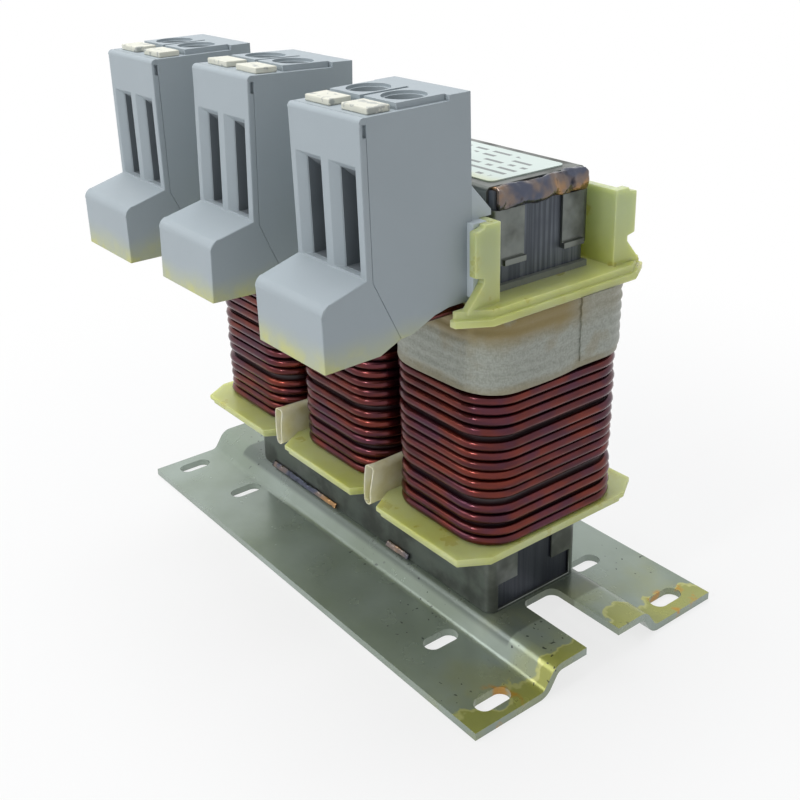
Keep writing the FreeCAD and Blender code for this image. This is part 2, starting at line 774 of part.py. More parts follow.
def rear_housing(number, leg, name):
    """The rear half of the moulded block, with a clamp chamber and a screw shaft for each pole."""
    body = new_body(f"terminal_rear_{number}")
    width, half_width = size["block_half_width"] * 2, size["block_half_width"]
    seam = size["block_depth"] - size["front_plate"]
    top = size["block_height"]
    rim = top + size["back_bar_height"]
    profile = [(seam, top), (size["back_bar_depth"], top), (size["back_bar_depth"], rim), (ZERO, rim),
               (ZERO, ZERO), (size["flat_depth"], ZERO), (size["keel_end_depth"], size["keel_end_level"]),
               (size["keel_depth"], size["keel_level"]), (size["seam_foot_depth"], size["seam_foot_level"]),
               (seam, size["seam_knee_level"])]
    pad_outline(body, "YZ_Plane", -half_width, side_outline(profile), width)
    for side in (-1, 1):
        boss = new_sketch(body, "XY_Plane", top)
        middle = size["pole_x"] * side
        draw_rectangle(boss, middle - size["boss_half_width"], -size["screw_depth"] - size["boss_half_length"],
                       middle + size["boss_half_width"], -size["screw_depth"] + size["boss_half_length"])
        pad(body, boss, size["boss_height"])
    low, funnel = size["entry_low"], size["entry_funnel"]
    throat = [(seam, low), (seam, size["entry_top"] - size["entry_drop"]),
              (size["chamber_front"], size["ceiling_end"]), (size["chamber_front"], low)]
    for side in (-1, 1):
        left, right = entry_span(side)
        pocket_outline(body, "YZ_Plane", left + funnel, side_outline(throat), right - left - funnel * 2)
        pocket_box(body, left, -size["chamber_front"], low, right, -size["chamber_back"], size["chamber_high"])
    shafts = new_sketch(body, "XY_Plane", size["chamber_high"] - size["screw_dish_depth"])
    dishes = new_sketch(body, "XY_Plane", top + size["boss_height"] - size["screw_dish_depth"])
    lead_radius = size["wire"] / 2 + size["lead_hole_clearance"]
    lead_end = size["lead_reach"] - size[f"{name}_seat_depth"] + size["lead_hole_clearance"]
    for side in (-1, 1):
        draw_polygon(shafts, size["pole_x"] * side, -size["screw_depth"], size["screw_hole_radius"], 24)
        draw_polygon(dishes, size["pole_x"] * side, -size["screw_depth"], size["screw_dish_radius"], 24)
        middle = size["lead_x"] * side
        pocket_box(body, middle - lead_radius, -lead_end, size["foot_low"],
                   middle + lead_radius, -size["flat_depth"], lead_radius - size["lead_drop"])
    pocket(body, shafts, rim)
    pocket(body, dishes, size["boss_height"])
    place_block_part(body, leg, name)
    return body


def clamp_cage(label, leg, name, side):
    """The plated clamp cage in the chamber of one pole; the screw presses into it from above."""
    body = new_body(label)
    left, right = entry_span(side)
    low, wall = size["entry_low"], size["clamp_wall"]
    high = low + size["clamp_height"]
    front, back = -size["chamber_front"], -size["chamber_back"]
    pad_box(body, left, front, low, right, back, high)
    pocket_box(body, left + wall, front * 2, low + wall, right - wall, back - wall, high - wall * 2)
    shaft = new_sketch(body, "XY_Plane", high - wall * 3)
    draw_polygon(shaft, size["pole_x"] * side, -size["screw_depth"], size["screw_shank_radius"], 12)
    pocket(body, shaft, wall * 4)
    place_block_part(body, leg, name)
    return body


def clamp_screw(label, leg, name, side):
    """A slotted clamping screw, threaded through the top of its cage."""
    body = new_body(label)
    middle, depth = size["pole_x"] * side, -size["screw_depth"]
    seat = size["entry_low"] + size["clamp_height"]
    parts = ((seat - size["clamp_wall"] * 3, seat, "screw_shank_radius"),
             (seat, seat + size["screw_head_height"], "screw_head_radius"))
    for low, high, radius in parts:
        disc = new_sketch(body, "XY_Plane", low)
        draw_polygon(disc, middle, depth, size[radius], 12)
        pad(body, disc, high - low)
    high = seat + size["screw_head_height"]
    half_slot = size["screw_slot_width"] / 2
    reach = size["screw_head_radius"] * 1.1
    pocket_box(body, middle - half_slot, depth - reach, high - size["screw_slot_depth"],
               middle + half_slot, depth + reach, high + 1)
    place_block_part(body, leg, name)
    return body


def marker_tag(label, leg, name, side):
    """A plain marker tag on the top of the block, above one wire entry."""
    body = new_body(label)
    middle = size["tag_shift"] + (size["pole_x"] + size["tag_shift"]) * side
    half_width = size["tag_half_width"]
    pad_box(body, middle - half_width, -size["tag_front"], size["block_height"],
            middle + half_width, -size["tag_back"], size["block_height"] + size["tag_thickness"])
    place_block_part(body, leg, name)
    return body


def clip(number, leg, rear):
    """The clip that hooks the block over the bobbin wall, cut to the block's own back."""
    form = new_body(f"clip_form_{number}")
    rib_inner = size["rib_outer"] - size["rib_sheet"]
    wall_front = size["wall_face"] + size["wall_sheet"]
    pad_box(form, -rib_inner, -size["clip_front"], leg_top + size["clip_low"],
            rib_inner, -wall_front, wall_top_level)
    nose = wall_top_level + size["hook_nose"]
    high = wall_top_level + size["hook_height"]
    hook = [(size["clip_front"], wall_top_level - 1), (wall_front, wall_top_level - 1),
            (wall_front, wall_top_level), (size["hook_back"], wall_top_level), (size["hook_back"], nose),
            (size["hook_top"], high), (size["clip_front"], high)]
    half_width = size["block_half_width"] - size["hook_inset"]
    pad_outline(form, "YZ_Plane", -half_width, side_outline(hook), half_width * 2)
    place(form, pitch * leg, ZERO, ZERO)
    cut = doc.addObject("Part::Cut", f"block_clip_{number}")
    cut.Base = form
    cut.Tool = rear
    cut.Label = f"block_clip_{number}"
    return cut


# The assembly

nodes = [
    base_plate(),
    base_weld("base_weld_long", -1, "long_weld_start", "long_weld_length"),
    base_weld("base_weld_short", -1, "short_weld_start", "short_weld_length"),
    lower_channel(),
    core_legs(),
    core_yoke(),
    upper_channel(),
    end_weld("end_weld_far", -1),
    end_weld("end_weld_near", 1),
    name_plate(),
    sleeve(1, -0.5),
    sleeve(2, 0.5),
]
for leg, name in COILS:
    number = leg + 2
    rear = rear_housing(number, leg, name)
    nodes += [
        gap_sheet(number, leg),
        bobbin(number, leg),
        winding(number, leg, name),
        winding_tape(number, leg),
        front_housing(number, leg, name),
        rear,
        clip(number, leg, rear),
    ]
    for side, hand in ((-1, "left"), (1, "right")):
        nodes.append(clamp_cage(f"clamp_{hand}_{number}", leg, name, side))
        nodes.append(clamp_screw(f"clamp_screw_{hand}_{number}", leg, name, side))
        nodes.append(marker_tag(f"marker_{hand}_{number}", leg, name, side))

doc.recompute()
for item in doc.Objects:
    if any(state in ("Invalid", "Error") for state in item.State):
        raise RuntimeError(f"{item.Label} {item.Name} is {item.State}")
os.makedirs("parts", exist_ok=True)
for node in nodes:
    if node.Shape.isNull() or not node.Shape.isValid():
        raise RuntimeError(f"{node.Label} has no valid shape")
    node.Shape.exportStep(f"parts/{node.Label}.step")
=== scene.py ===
# %% [markdown]
# # A three-phase line reactor, dressed for a photograph
#
# A line reactor sits between the mains and a motor drive and smooths the current. Ours has three coils on
# a welded steel core, a folded foot to bolt it down, and a screw terminal block clipped to each coil.
# The solid model is loaded as a fixed frame. Every piece that we add lies exactly where a solid lies, so
# nothing has to be placed by eye.

# %% Load the frame
import math
import random

import bpy
from mathutils import Matrix, Vector, noise


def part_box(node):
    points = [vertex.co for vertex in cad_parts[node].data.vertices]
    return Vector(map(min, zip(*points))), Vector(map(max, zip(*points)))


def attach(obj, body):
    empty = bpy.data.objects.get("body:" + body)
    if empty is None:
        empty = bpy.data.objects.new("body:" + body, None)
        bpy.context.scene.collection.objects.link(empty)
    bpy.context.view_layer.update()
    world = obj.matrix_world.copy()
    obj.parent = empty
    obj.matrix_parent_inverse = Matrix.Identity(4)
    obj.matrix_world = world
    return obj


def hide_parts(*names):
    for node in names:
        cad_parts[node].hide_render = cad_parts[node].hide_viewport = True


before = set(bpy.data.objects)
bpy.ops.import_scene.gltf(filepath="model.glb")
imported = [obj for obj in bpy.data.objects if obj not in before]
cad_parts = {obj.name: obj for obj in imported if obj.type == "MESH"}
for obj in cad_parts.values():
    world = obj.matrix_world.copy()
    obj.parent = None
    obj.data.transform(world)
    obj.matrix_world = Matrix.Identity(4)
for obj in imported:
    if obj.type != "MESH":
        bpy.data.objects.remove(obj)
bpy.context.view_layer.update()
MM = 0.001
COILS = {1: -50 * MM, 2: 0.0, 3: 50 * MM}
print("nodes in the frame:", len(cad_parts))

# %% [markdown]
# ## The camera comes first
#
# The photograph was cut out of a larger picture, so its optical axis doesn't pass through its middle. A
# small lens shift does the same here. The numbers come from fitting known corners of the object.

# %% Camera
IMAGE_SIDE = 800
SENSOR = 36.0
FOCAL_PIXELS = 1113.47
AZIMUTH, ELEVATION, ROLL = math.radians(52.53), math.radians(21.84), math.radians(-1.38)
AIM = Vector((0.12032, -0.09206, 0.13919))
DISTANCE = 0.19348
AXIS_RISE_PIXELS = 80

back = Vector((math.sin(AZIMUTH) * math.cos(ELEVATION), -math.cos(AZIMUTH) * math.cos(ELEVATION),
               math.sin(ELEVATION)))
level_right = Vector((math.cos(AZIMUTH), math.sin(AZIMUTH), 0))
level_up = back.cross(level_right)
right = level_right * math.cos(ROLL) + level_up * math.sin(ROLL)
up = level_up * math.cos(ROLL) - level_right * math.sin(ROLL)

lens = bpy.data.cameras.new("photo_camera")
camera = bpy.data.objects.new("photo_camera", lens)
bpy.context.scene.collection.objects.link(camera)
camera.matrix_world = Matrix((right, up, back)).transposed().to_4x4()
camera.location = AIM + back * DISTANCE
lens.sensor_width = SENSOR
lens.lens = FOCAL_PIXELS / IMAGE_SIDE * SENSOR
lens.shift_y = -AXIS_RISE_PIXELS / IMAGE_SIDE
lens.clip_start, lens.clip_end = 0.01, 20.0
bpy.context.scene.camera = camera
print("lens, mm:", round(lens.lens, 2))

# %% [markdown]
# ## Light
#
# The photograph has soft daylight from above and a little from the left, where the terminals face. One
# large lamp over the terminals, one above and a world that is brighter behind and to the left give the
# same gentle shading. A small weak lamp in front of the terminals puts the glints on the wires. The camera,
# metal and anything clear see a plain white room. The reactor itself is lit by half of that white and half
# of the room's own gradient.

# %% Lamps and world
MIDDLE = Vector((0, 0, 0.09))
ROOM_TINT = (0.86, 0.92, 1.0, 1)
BRIGHT_SIDE = (-0.8, 0.5, 0.33)
SHARE_OF_WHITE_LIGHT = 0.5


def soft_lamp(name, place, size, power):
    """A square area lamp that looks at the middle of the reactor."""
    data = bpy.data.lights.new(name, "AREA")
    data.size = size
    data.energy = power
    lamp = bpy.data.objects.new(name, data)
    bpy.context.scene.collection.objects.link(lamp)
    lamp.location = place
    lamp.rotation_mode = "QUATERNION"
    lamp.rotation_quaternion = (Vector(place) - MIDDLE).to_track_quat("Z", "Y")


def plain_white(tree, kind):
    """A background or emission node that renders as exactly white."""
    node = tree.nodes.new(kind)
    node.inputs["Color"].default_value = (1, 1, 1, 1)
    node.inputs["Strength"].default_value = 1.0
    return node


def share_of_white(tree, least):
    """1 for the rays that see the white room, and the least share for all others."""
    rays = tree.nodes.new("ShaderNodeLightPath")
    share = None
    for ray in ("Is Camera Ray", "Is Glossy Ray", "Is Transmission Ray"):
        larger = tree.nodes.new("ShaderNodeMath")
        larger.operation = "MAXIMUM"
        larger.inputs[1].default_value = least
        tree.links.new(rays.outputs[ray], larger.inputs[0])
        if share:
            tree.links.new(share, larger.inputs[1])
        share = larger.outputs[0]
    return share


soft_lamp("window_light", (-0.45, -0.75, 0.75), 0.5, 2.0)
soft_lamp("ceiling_light", (-0.25, 0.05, 1.0), 0.5, 5.0)
soft_lamp("glint_light", (0.07, -0.62, 0.44), 0.08, 1.0)

world = bpy.data.worlds.new("pale_room")
world.use_nodes = True
bpy.context.scene.world = world
tree = world.node_tree
tree.nodes.clear()
room = tree.nodes.new("ShaderNodeBackground")
room.inputs["Color"].default_value = ROOM_TINT
toward = tree.nodes.new("ShaderNodeVectorMath")
toward.operation = "DOT_PRODUCT"
toward.inputs[1].default_value = BRIGHT_SIDE
tree.links.new(tree.nodes.new("ShaderNodeTexCoord").outputs["Generated"], toward.inputs[0])
glow = tree.nodes.new("ShaderNodeMapRange")
glow.interpolation_type = "SMOOTHSTEP"
glow.inputs["From Min"].default_value = -0.3
glow.inputs["From Max"].default_value = 0.9
glow.inputs["To Min"].default_value = 0.04
glow.inputs["To Max"].default_value = 0.45
tree.links.new(toward.outputs["Value"], glow.inputs["Value"])
tree.links.new(glow.outputs[0], room.inputs["Strength"])
either = tree.nodes.new("ShaderNodeMixShader")
out = tree.nodes.new("ShaderNodeOutputWorld")
tree.links.new(share_of_white(tree, SHARE_OF_WHITE_LIGHT), either.inputs[0])
tree.links.new(room.outputs[0], either.inputs[1])
tree.links.new(plain_white(tree, "ShaderNodeBackground").outputs[0], either.inputs[2])
tree.links.new(either.outputs[0], out.inputs["Surface"])
bpy.context.scene.view_settings.view_transform = "Standard"

# %% [markdown]
# ## Helpers for finishes
#
# A real surface is never one colour. Each finish below starts from a base colour and lays patterns over it:
# speckle, stains, streaks and heat colours. A few small helpers keep the node trees short to read.

# %% Finish helpers
def paint(red, green, blue):
    """A colour as it is read off a screen, 0 to 255, turned to the linear values that shaders use."""
    def linear(value):
        value = value / 255
        return value / 12.92 if value <= 0.04045 else ((value + 0.055) / 1.055) ** 2.4
    return (linear(red), linear(green), linear(blue), 1.0)


class Finish:
    """A material under construction, with its Principled shader and Object coordinates."""

    def __init__(self, name, roughness, metal=0.0):
        self.material = bpy.data.materials.new(name)
        self.material.use_nodes = True
        self.tree = self.material.node_tree
        self.shader = self.tree.nodes["Principled BSDF"]
        self.shader.inputs["Roughness"].default_value = roughness
        self.shader.inputs["Metallic"].default_value = metal
        self.place = self.tree.nodes.new("ShaderNodeTexCoord").outputs["Object"]
        split = self.tree.nodes.new("ShaderNodeSeparateXYZ")
        self.tree.links.new(self.place, split.inputs[0])
        self.x, self.y, self.z = split.outputs

    def link(self, source, target):
        self.tree.links.new(source, target)

    def stretched(self, scale):
        """Object coordinates scaled by three numbers, for streaks."""
        mapping = self.tree.nodes.new("ShaderNodeMapping")
        mapping.inputs["Scale"].default_value = scale
        self.link(self.place, mapping.inputs["Vector"])
        return mapping.outputs[0]

    def cloud(self, size, detail=4.0, place=None):
        """Cloudy noise with patches of about the given size in metres."""
        node = self.tree.nodes.new("ShaderNodeTexNoise")
        node.inputs["Scale"].default_value = 1 / size
        node.inputs["Detail"].default_value = detail
        self.link(place or self.place, node.inputs["Vector"])
        return node.outputs[0]

    def ramp(self, value, low, high):
        """0 below low, 1 above high, and smooth between."""
        node = self.tree.nodes.new("ShaderNodeMapRange")
        node.interpolation_type = "SMOOTHSTEP"
        node.inputs["From Min"].default_value = low
        node.inputs["From Max"].default_value = high
        self.link(value, node.inputs["Value"])
        return node.outputs[0]

    def away(self, point):
        """Distance in metres from a point, with a wavering outline."""
        node = self.tree.nodes.new("ShaderNodeVectorMath")
        node.operation = "DISTANCE"
        node.inputs[1].default_value = point
        self.link(self.place, node.inputs[0])
        return self.wavering(node.outputs["Value"], 0.006, 0.007, 5.0)

    def maths(self, operation, first, second):
        node = self.tree.nodes.new("ShaderNodeMath")
        node.operation = operation
        for socket, value in zip(node.inputs, (first, second)):
            if isinstance(value, (int, float)):
                socket.default_value = value
            else:
                self.link(value, socket)
        return node.outputs[0]

    def times(self, first, second):
        return self.maths("MULTIPLY", first, second)

    def plus(self, first, second):
        return self.maths("ADD", first, second)

    def wavering(self, value, size, reach, detail=4.0):
        """The value with cloudy noise from 0 to reach added, so that an outline drawn with it wavers."""
        return self.plus(value, self.times(self.cloud(size, detail), reach))

    def over(self, base, mask, share, colour):
        """The base with a colour laid over it where the mask is 1, up to the given share."""
        return self.mixed(self.times(mask, share), base, colour)

    def mixed(self, amount, first, second):
        """The first colour where amount is 0 and the second where it is 1."""
        node = self.tree.nodes.new("ShaderNodeMix")
        node.data_type = "RGBA"
        for socket, value in zip((node.inputs[0], node.inputs[6], node.inputs[7]), (amount, first, second)):
            if isinstance(value, (tuple, float, int)):
                socket.default_value = value
            else:
                self.link(value, socket)
        return node.outputs[2]

    def bumps(self, height, depth):
        """Raises the surface by up to depth metres where height is 1."""
        node = self.tree.nodes.new("ShaderNodeBump")
        node.inputs["Strength"].default_value = 1.0
        node.inputs["Distance"].default_value = depth
        self.link(height, node.inputs["Height"])
        self.link(node.outputs[0], self.shader.inputs["Normal"])

    def preset(self, values):
        """Sets inputs of the shader by their names."""
        for name, value in values.items():
            self.shader.inputs[name].default_value = value

    def colour(self, source):
        self.link(source, self.shader.inputs["Base Color"])

    def rough(self, value, low, high):
        """Roughness that runs from low to high with the value."""
        node = self.tree.nodes.new("ShaderNodeMapRange")
        node.inputs["To Min"].default_value = low
        node.inputs["To Max"].default_value = high
        self.link(value, node.inputs["Value"])
        self.link(node.outputs[0], self.shader.inputs["Roughness"])


# %% [markdown]
# ## Moulded grey plastic of the terminal blocks
#
# The blocks are cool grey and almost matt. When the finished reactor was dipped in resin, the lowest few
# millimetres of each block's foot were left with a yellow-green stain, so the stain follows the height.

# %% Block plastic
def block_plastic(name, front, stain_level):
    finish = Finish(name, 0.5)
    finish.preset({"Specular IOR Level": 0.3})
    patches = finish.cloud(0.02)
    base = finish.mixed(patches, front, tuple(c * 0.93 for c in front[:3]) + (1.0,))
    wavy = finish.wavering(finish.z, 0.012, 0.008)
    stain = finish.ramp(wavy, stain_level + 0.013, stain_level + 0.003)
    blotches = finish.ramp(finish.cloud(0.006), 0.42, 0.66)
    strength = finish.plus(finish.times(blotches, 0.45), 0.4)
    finish.colour(finish.mixed(finish.times(stain, strength), base, paint(196, 196, 110)))
    finish.bumps(finish.cloud(0.0006, 2.0), 0.00002)
    finish.rough(finish.cloud(0.004), 0.42, 0.58)
    return finish.material


BLOCK_GREY = paint(163, 173, 179)
print("finish: block plastic")

# %% [markdown]
# ## Enamelled copper
#
# Winding wire is copper under a clear red-brown varnish. The metal shows through as orange glints, and the
# varnish itself is dark between them. So the finish is nearly all metal, in dark reds, with a thin clear
# coat.

# %% Wire enamel
def wire_enamel():
    finish = Finish("wire_enamel", 0.2, 0.9)
    streaks = finish.cloud(0.004, 3.0, finish.stretched((0.3, 0.3, 1.5)))
    base = finish.mixed(finish.ramp(streaks, 0.3, 0.7), paint(70, 30, 34), paint(108, 44, 32))
    dusk = finish.ramp(finish.cloud(0.012), 0.4, 0.7)
    finish.colour(finish.over(base, dusk, 0.75, paint(68, 36, 56)))
    finish.preset({"Coat Weight": 0.2, "Coat Roughness": 0.1})
    finish.rough(finish.cloud(0.003), 0.2, 0.3)
    finish.bumps(finish.cloud(0.002, 2.0), 0.00004)
    return finish.material


# %% [markdown]
# ## Bobbin plastic
#
# The bobbins are a pale yellow-green polyester. Light goes a little way into it, so its edges look lighter
# than its faces, and the dipping resin has dried on it in glossy amber pools. The thin walls on top look
# paler and greener than the flanges.

# %% Bobbin plastic
def bobbin_plastic():
    finish = Finish("bobbin_plastic", 0.35)
    cloudy = finish.ramp(finish.cloud(0.03), 0.35, 0.7)
    base = finish.mixed(cloudy, paint(192, 199, 140), paint(184, 189, 104))
    thin = finish.ramp(finish.plus(finish.z, finish.times(cloudy, 0.005)), 0.112, 0.128)
    base = finish.over(base, thin, 0.6, paint(180, 194, 156))
    pool = finish.ramp(finish.cloud(0.009, 5.0), 0.56, 0.70)
    finish.colour(finish.over(base, pool, 0.45, paint(180, 168, 70)))
    finish.preset({"Subsurface Weight": 0.8, "Subsurface Radius": (1.0, 1.0, 0.55),
                   "Subsurface Scale": 0.006, "Coat Weight": 0.4, "Coat Roughness": 0.15})
    finish.rough(pool, 0.42, 0.15)
    finish.bumps(finish.cloud(0.004), 0.00012)
    return finish.material


# %% [markdown]
# ## Zinc-plated sheet of the foot
#
# The foot is bright zinc under a film of varnish. It mirrors the room softly, has dull patches, and the
# varnish has run to its near ends and round the slots, where it dried yellow and orange. Next to the core the
# raised part gets painted shade.

# %% Zinc with varnish
FLOOD_LINE = 0.1000
SLOT_X, SLOT_Y = 0.0862, 0.0372


def zinc_sheet():
    finish = Finish("zinc_sheet", 0.34, 0.4)
    dull = finish.ramp(finish.cloud(0.035), 0.3, 0.7)
    base = finish.mixed(dull, paint(158, 170, 162), paint(136, 148, 134))
    from_middle = finish.wavering(finish.maths("ABSOLUTE", finish.x, 0.0), 0.01, 0.002)
    # Painted shade on the raised part of the foot beside the core.
    painted_shade_by_core = finish.times(finish.ramp(from_middle, 0.0752, 0.0742), finish.ramp(finish.z, 0.0055, 0.0072))
    base = finish.over(base, painted_shade_by_core, 0.55, paint(62, 68, 72))
    drift = finish.wavering(finish.x, 0.014, 0.03)
    facing = finish.tree.nodes.new("ShaderNodeSeparateXYZ")
    finish.link(finish.tree.nodes.new("ShaderNodeNewGeometry").outputs["Normal"], facing.inputs[0])
    lying = finish.ramp(facing.outputs[2], 0.2, 0.5)
    flood = finish.times(finish.ramp(drift, FLOOD_LINE - 0.001, FLOOD_LINE), lying)
    film = finish.times(finish.ramp(finish.cloud(0.02, 3.0), 0.35, 0.6), finish.ramp(drift, 0.07, 0.098))
    stained = finish.over(base, film, 0.4, paint(158, 160, 84))
    deep = finish.mixed(finish.cloud(0.006), paint(150, 152, 54), paint(174, 174, 66))
    stained = finish.over(stained, flood, 0.7, deep)
    shore = finish.times(flood, finish.ramp(drift, FLOOD_LINE + 0.001, FLOOD_LINE))
    stained = finish.over(stained, shore, 0.5, paint(214, 214, 150))
    for side in (-1, 1):
        slot = finish.away((SLOT_X, SLOT_Y * side, 0.001))
        patchy = finish.ramp(finish.cloud(0.007, 3.0), 0.55, 0.66)
        ring = finish.times(finish.ramp(slot, 0.0122, 0.0105), patchy)
        stained = finish.over(stained, ring, 0.8, paint(196, 138, 40))
    speck = finish.times(finish.ramp(finish.cloud(0.0014, 0.0), 0.77, 0.80),
                         finish.ramp(finish.cloud(0.03, 0.0), 0.56, 0.64))
    finish.colour(finish.over(stained, speck, 0.8, paint(44, 46, 50)))
    finish.rough(finish.cloud(0.01, 6.0), 0.14, 0.36)
    finish.bumps(finish.cloud(0.003, 3.0), 0.00005)
    return finish.material


# %% [markdown]
# ## Laminations, channel steel and weld
#
# The core is a stack of thin sheets, so its ends show fine upright lines. The channel round it is plain
# rolled steel. The weld beads have run through every heat colour from straw to blue.

# %% Core steels
def lamination_edges():
    finish = Finish("lamination_edges", 0.45, 0.55)
    lines = finish.cloud(0.0009, 2.0, finish.stretched((0.02, 1.0, 0.02)))
    sharp = finish.ramp(lines, 0.38, 0.62)
    base = finish.mixed(sharp, paint(66, 72, 80), paint(94, 100, 108))
    shade = finish.ramp(finish.cloud(0.012), 0.4, 0.75)
    worn = finish.over(base, shade, 0.6, paint(62, 66, 76))
    # Painted shade: the laminations darken towards the bottom, below the bobbins' lower flanges.
    low = finish.ramp(finish.z, 0.036, 0.026)
    finish.colour(finish.over(worn, low, 0.8, paint(36, 40, 50)))
    finish.bumps(lines, 0.00008)
    return finish.material


def channel_steel():
    finish = Finish("channel_steel", 0.36, 0.8)
    grain = finish.cloud(0.004, 5.0, finish.stretched((0.25, 1.0, 1.0)))
    base = finish.mixed(grain, paint(92, 98, 97), paint(124, 128, 122))
    grime = finish.ramp(finish.cloud(0.014, 5.0), 0.42, 0.66)
    plain = finish.over(base, grime, 0.7, paint(60, 62, 58))
    from_middle = finish.wavering(finish.maths("ABSOLUTE", finish.x, 0.0), 0.008, 0.01)
    heated = finish.times(finish.ramp(from_middle, 0.064, 0.071), finish.ramp(finish.z, 0.140, 0.156))
    finish.colour(finish.over(plain, heated, 0.85, paint(58, 62, 78)))
    finish.rough(grime, 0.28, 0.5)
    finish.bumps(grain, 0.00004)
    return finish.material


def heated_weld():
    finish = Finish("heated_weld", 0.3, 0.85)
    heat = finish.cloud(0.012, 3.0)
    blue = finish.ramp(heat, 0.42, 0.52)
    straw = finish.times(finish.ramp(heat, 0.53, 0.62), 0.85)
    base = finish.mixed(blue, paint(80, 84, 98), paint(116, 104, 98))
    base = finish.mixed(straw, base, paint(162, 124, 82))
    soot = finish.ramp(finish.cloud(0.007, 4.0), 0.58, 0.7)
    finish.colour(finish.mixed(soot, base, paint(40, 42, 52)))
    finish.rough(heat, 0.1, 0.34)
    finish.bumps(finish.cloud(0.0018, 4.0), 0.0002)
    return finish.material


# %% [markdown]
# ## The smaller finishes
#
# Tape, film, label, tags, gap board and screws each get their own: the tape is woven and stained by resin,
# the label is pale foil with plain dark bars where print would be, and the tags are cream with a smudge.

# %% Tape, film, label, tags and hardware
ROWS_PER_METRE, COLUMNS_PER_METRE = 260.0, 420.0
PRINT_HALF_LENGTH, PRINT_HALF_WIDTH = 0.0545, 0.0115


def cotton_tape():
    finish = Finish("cotton_tape", 0.6)
    weave = finish.plus(finish.cloud(0.0004, 1.0, finish.stretched((1, 1, 0.4))),
                         finish.cloud(0.0005, 1.0, finish.stretched((0.4, 0.4, 1))))
    base = finish.mixed(finish.ramp(weave, 0.6, 1.4), paint(140, 144, 134), paint(162, 166, 157))
    high = finish.wavering(finish.z, 0.01, 0.008)
    pools = finish.ramp(finish.cloud(0.013), 0.32, 0.44)
    before_lap = finish.plus(finish.times(finish.ramp(finish.y, 0.010, -0.002), 0.7), 0.3)
    resin = finish.times(finish.times(finish.ramp(high, 0.0995, 0.1065), pools), before_lap)
    hem = finish.ramp(high, 0.0925, 0.0885)
    blotch = finish.ramp(finish.cloud(0.012, 4.0), 0.5, 0.68)
    wet = finish.maths("MAXIMUM", finish.times(resin, 0.95), finish.times(blotch, 0.3))
    wet = finish.maths("MAXIMUM", wet, finish.times(hem, 0.5))
    finish.colour(finish.mixed(wet, base, paint(130, 112, 56)))
    finish.preset({"Coat Weight": 0.35, "Coat Roughness": 0.3})
    finish.bumps(weave, 0.00008)
    return finish.material


def varnished_film():
    finish = Finish("varnished_film", 0.25)
    cloudy = finish.ramp(finish.cloud(0.008, 4.0), 0.35, 0.7)
    finish.colour(finish.mixed(cloudy, paint(230, 225, 192), paint(214, 206, 152)))
    finish.preset({"Subsurface Weight": 0.7, "Subsurface Radius": (1.0, 0.95, 0.7),
                   "Subsurface Scale": 0.003})
    finish.bumps(finish.cloud(0.006), 0.0003)
    return finish.material


def label_foil():
    """Pale foil with a bare border; plain dark bars of uneven length stand for the lines of print."""
    finish = Finish("label_foil", 0.35)
    mint = finish.mixed(finish.cloud(0.03), paint(208, 222, 216), paint(196, 212, 206))
    row = finish.times(finish.y, ROWS_PER_METRE)
    column = finish.times(finish.x, COLUMNS_PER_METRE)
    cell = finish.tree.nodes.new("ShaderNodeCombineXYZ")
    finish.link(finish.maths("FLOOR", column, 0.0), cell.inputs[0])
    finish.link(finish.maths("FLOOR", row, 0.0), cell.inputs[1])
    chance = finish.tree.nodes.new("ShaderNodeTexWhiteNoise")
    chance.noise_dimensions = "3D"
    finish.link(cell.outputs[0], chance.inputs["Vector"])
    word = finish.maths("GREATER_THAN", chance.outputs["Value"], 0.45)
    block = finish.ramp(finish.cloud(0.03, 0.0, finish.stretched((1.0, 2.0, 0.0))), 0.44, 0.46)
    across = finish.maths("FRACT", row, 0.0)
    line = finish.times(finish.maths("GREATER_THAN", across, 0.3), finish.maths("LESS_THAN", across, 0.68))
    inside_x = finish.maths("LESS_THAN", finish.maths("ABSOLUTE", finish.x, 0.0), PRINT_HALF_LENGTH)
    inside_y = finish.maths("LESS_THAN", finish.maths("ABSOLUTE", finish.y, 0.0), PRINT_HALF_WIDTH)
    ink = finish.times(finish.times(line, finish.times(word, block)),
                       finish.times(inside_x, inside_y))
    yellowed = finish.ramp(finish.wavering(finish.y, 0.01, -0.012),
                           -0.013, -0.020)
    foil = finish.over(mint, yellowed, 0.5, paint(206, 210, 150))
    finish.colour(finish.over(foil, ink, 0.85, paint(66, 74, 76)))
    finish.preset({"Coat Weight": 0.3})
    finish.bumps(finish.cloud(0.012), 0.00006)
    return finish.material


def tag_plastic():
    finish = Finish("tag_plastic", 0.45)
    base = finish.mixed(finish.cloud(0.006), paint(222, 222, 210), paint(205, 205, 190))
    smudge = finish.ramp(finish.cloud(0.0028, 3.0), 0.56, 0.64)
    finish.colour(finish.over(base, smudge, 0.55, paint(120, 128, 134)))
    finish.bumps(finish.cloud(0.0008), 0.00002)
    return finish.material


def gap_board():
    finish = Finish("gap_board", 0.6)
    finish.colour(finish.mixed(finish.cloud(0.003, 5.0), paint(96, 102, 98), paint(126, 130, 122)))
    finish.bumps(finish.cloud(0.001), 0.00006)
    return finish.material


def plated_hardware(name, tone):
    finish = Finish(name, 0.35, 0.85)
    dark = tuple(c * 0.6 for c in tone[:3]) + (1.0,)
    finish.colour(finish.mixed(finish.ramp(finish.cloud(0.003, 5.0), 0.35, 0.7), tone, dark))
    finish.bumps(finish.cloud(0.0007), 0.00003)
    return finish.material


def painted_gap_shade():
    """Painted shade for the gaps between turns: the filler that stands for the lower layers of wire is dark.
    """
    finish = Finish("painted_gap_shade", 0.4)
    finish.colour(finish.mixed(finish.cloud(0.004), paint(24, 14, 20), paint(44, 20, 22)))
    finish.bumps(finish.cloud(0.002), 0.0001)
    return finish.material


